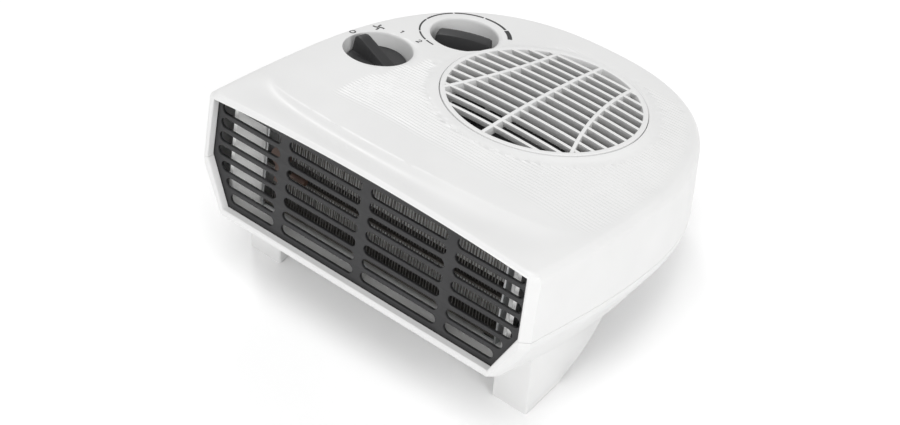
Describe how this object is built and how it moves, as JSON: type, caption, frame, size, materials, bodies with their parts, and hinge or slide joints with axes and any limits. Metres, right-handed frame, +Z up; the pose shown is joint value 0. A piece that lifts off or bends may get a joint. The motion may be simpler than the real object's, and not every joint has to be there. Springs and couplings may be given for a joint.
{
  "type": "fan convector heater",
  "caption": "Flat D-shaped fan heater leaning back on front legs: slotted warm-air outlet in front, round intake grille and sunken knobs on top.",
  "frame": {"origin": "on the floor, under the middle of the case's outer box", "axes": "+X across the width, to the right as seen from the front; +Y to the back; +Z up; the outlet faces -Y"},
  "size_m": [0.2624, 0.2584, 0.1326],
  "materials": {
    "case_white": "satin moulded white ABS",
    "grille_black": "near-black heat-proof moulded plastic, satin",
    "knob_black": "dark grey moulded plastic, satin",
    "duct_white": "off-white moulded plastic",
    "rubber": "dark rubber",
    "steel": "zinc-plated steel",
    "iron": "laminated iron, dull",
    "brass": "plain brass",
    "copper": "enamelled copper",
    "mica": "pressed mica board, dull",
    "heating_wire": "oxidised resistance wire",
    "bakelite": "brown phenolic",
    "nylon": "natural nylon",
    "fan_black": "dark moulded nylon, satin"
  },
  "bodies": {
    "case": {"air_duct": "duct_white", "bottom_shell": "case_white", "case_screw_1": "steel", "case_screw_2": "steel", "case_screw_3": "steel", "case_screw_4": "steel", "coil_bobbin": "nylon", "coil_winding": "copper", "cord_grommet": "rubber", "duct_screw_1": "steel", "duct_screw_2": "steel", "element_plate_left": "steel", "element_plate_right": "steel", "element_screw_1": "steel", "element_screw_2": "steel", "front_grille": "grille_black", "heating_wire_lower": "heating_wire", "heating_wire_upper": "heating_wire", "intake_grille": "case_white", "lower_bearing": "brass", "lower_bearing_bridge": "steel", "mica_board_bottom": "mica", "mica_board_middle": "mica", "mica_board_top": "mica", "motor_screw_1": "steel", "motor_screw_2": "steel", "rear_pad_left": "rubber", "rear_pad_right": "rubber", "selector_switch": "bakelite", "stator_stack": "iron", "switch_terminal_1": "brass", "switch_terminal_2": "brass", "switch_terminal_3": "brass", "thermal_cutout": "bakelite", "thermal_fuse": "bakelite", "thermostat_bimetal": "brass", "thermostat_contact_arm": "copper", "thermostat_frame": "steel", "thermostat_insulator": "nylon", "top_cover": "case_white", "upper_bearing": "brass", "upper_bearing_bridge": "steel"},
    "selector": {"selector_knob": "knob_black", "selector_spindle": "nylon"},
    "thermostat": {"thermostat_knob": "knob_black", "thermostat_spindle": "brass"},
    "fan": {"impeller": "fan_black", "motor_shaft": "steel", "motor_rotor": "iron"}
  },
  "joints": [
    {"name": "selector_turn", "type": "hinge", "parent": "case", "child": "selector", "pos_m": [-0.0939, 0.00443, 0.09526], "axis": [0, -0.2113, -0.9774], "range_deg": [0, 102]},
    {"name": "thermostat_turn", "type": "hinge", "parent": "case", "child": "thermostat", "pos_m": [-0.0713, 0.06337, 0.08251], "axis": [0, -0.2113, -0.9774], "range_deg": [-60, 171]},
    {"name": "fan_spin", "type": "hinge", "parent": "case", "child": "fan", "pos_m": [0.015, 0.03018, 0.06718], "axis": [0, -0.2113, -0.9774], "continuous": true}
  ]
}
